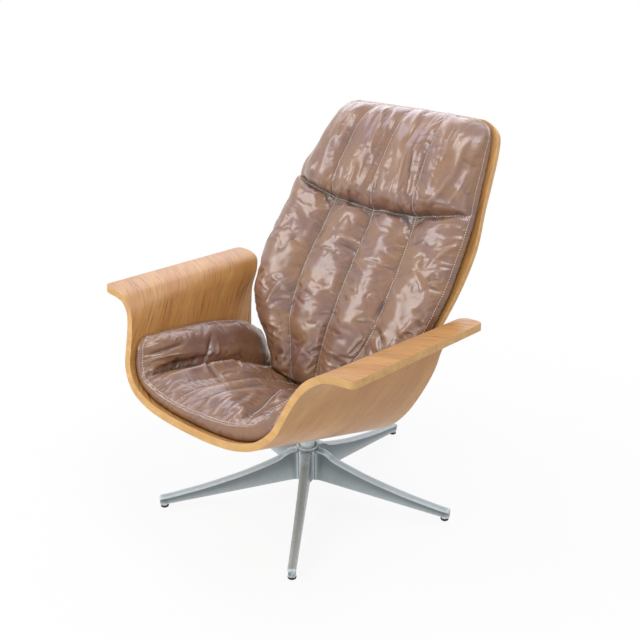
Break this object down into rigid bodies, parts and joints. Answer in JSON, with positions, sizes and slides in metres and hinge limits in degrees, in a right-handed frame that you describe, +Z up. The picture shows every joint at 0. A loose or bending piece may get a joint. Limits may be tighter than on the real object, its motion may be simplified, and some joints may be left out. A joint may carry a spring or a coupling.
{
  "type": "swivel rocker",
  "caption": "High-backed lounge chair with moulded plywood seat and back shells, channelled leather cushions, a sprung rocking mechanism and a star-shaped cast aluminium swivel base.",
  "frame": {"origin": "centre of the bounding box at floor level", "axes": "+Z up, the sitter faces -Y, +X is the sitter's left side arm"},
  "size_m": [0.7834, 0.828, 0.9128],
  "materials": {
    "plywood": "satin lacquer over an oak coloured veneer",
    "leather": "glossy waxed taupe brown",
    "cast_aluminium": "cast, brushed on top",
    "steel": "zinc plated",
    "black_steel": "black powder coat",
    "spring_steel": "drawn wire",
    "black_plastic": "moulded",
    "rubber": "moulded",
    "nylon": "natural",
    "beech": "raw"
  },
  "bodies": {
    "base": {"base_casting": "cast_aluminium", "glide_1": "black_plastic", "glide_2": "black_plastic", "glide_3": "black_plastic", "glide_4": "black_plastic", "glide_5": "black_plastic", "hub_bushing_upper": "nylon", "hub_bushing_lower": "nylon", "thrust_washer": "nylon"},
    "swivel": {"spindle": "steel", "spindle_washer": "steel", "retaining_clip": "spring_steel", "rocker_yoke": "cast_aluminium", "pivot_bolt": "steel", "pivot_nut": "steel", "bumper_front": "rubber", "bumper_rear": "rubber", "spring_1": "spring_steel", "spring_2": "spring_steel", "spring_3": "spring_steel", "spring_4": "spring_steel"},
    "seat": {"tilt_plate": "black_steel", "pivot_bush_left": "nylon", "pivot_bush_right": "nylon", "cleat_left": "beech", "cleat_right": "beech", "plate_bolt_1": "steel", "plate_bolt_2": "steel", "plate_bolt_3": "steel", "plate_bolt_4": "steel", "seat_shell": "plywood", "back_shell": "plywood", "seat_cushion": "leather", "back_cushion": "leather", "back_bracket_left": "black_steel", "bracket_seat_bolt_left_1": "steel", "bracket_seat_bolt_left_2": "steel", "bracket_back_bolt_left_1": "steel", "bracket_back_bolt_left_2": "steel", "back_mount_left_1": "rubber", "back_mount_left_2": "rubber", "back_bracket_right": "black_steel", "bracket_seat_bolt_right_1": "steel", "bracket_seat_bolt_right_2": "steel", "bracket_back_bolt_right_1": "steel", "bracket_back_bolt_right_2": "steel", "back_mount_right_1": "rubber", "back_mount_right_2": "rubber"}
  },
  "joints": [
    {"name": "swivel", "type": "hinge", "parent": "base", "child": "swivel", "pos_m": [0, -0.02664, 0.13], "axis": [0, 0, 1], "continuous": true},
    {"name": "rock", "type": "hinge", "parent": "swivel", "child": "seat", "pos_m": [0, -0.02664, 0.172], "axis": [-1, 0, 0], "range_deg": [-5, 12], "stiffness_Nm_per_rad": 350, "deforming": ["spring_1", "spring_2", "spring_3", "spring_4"]}
  ]
}
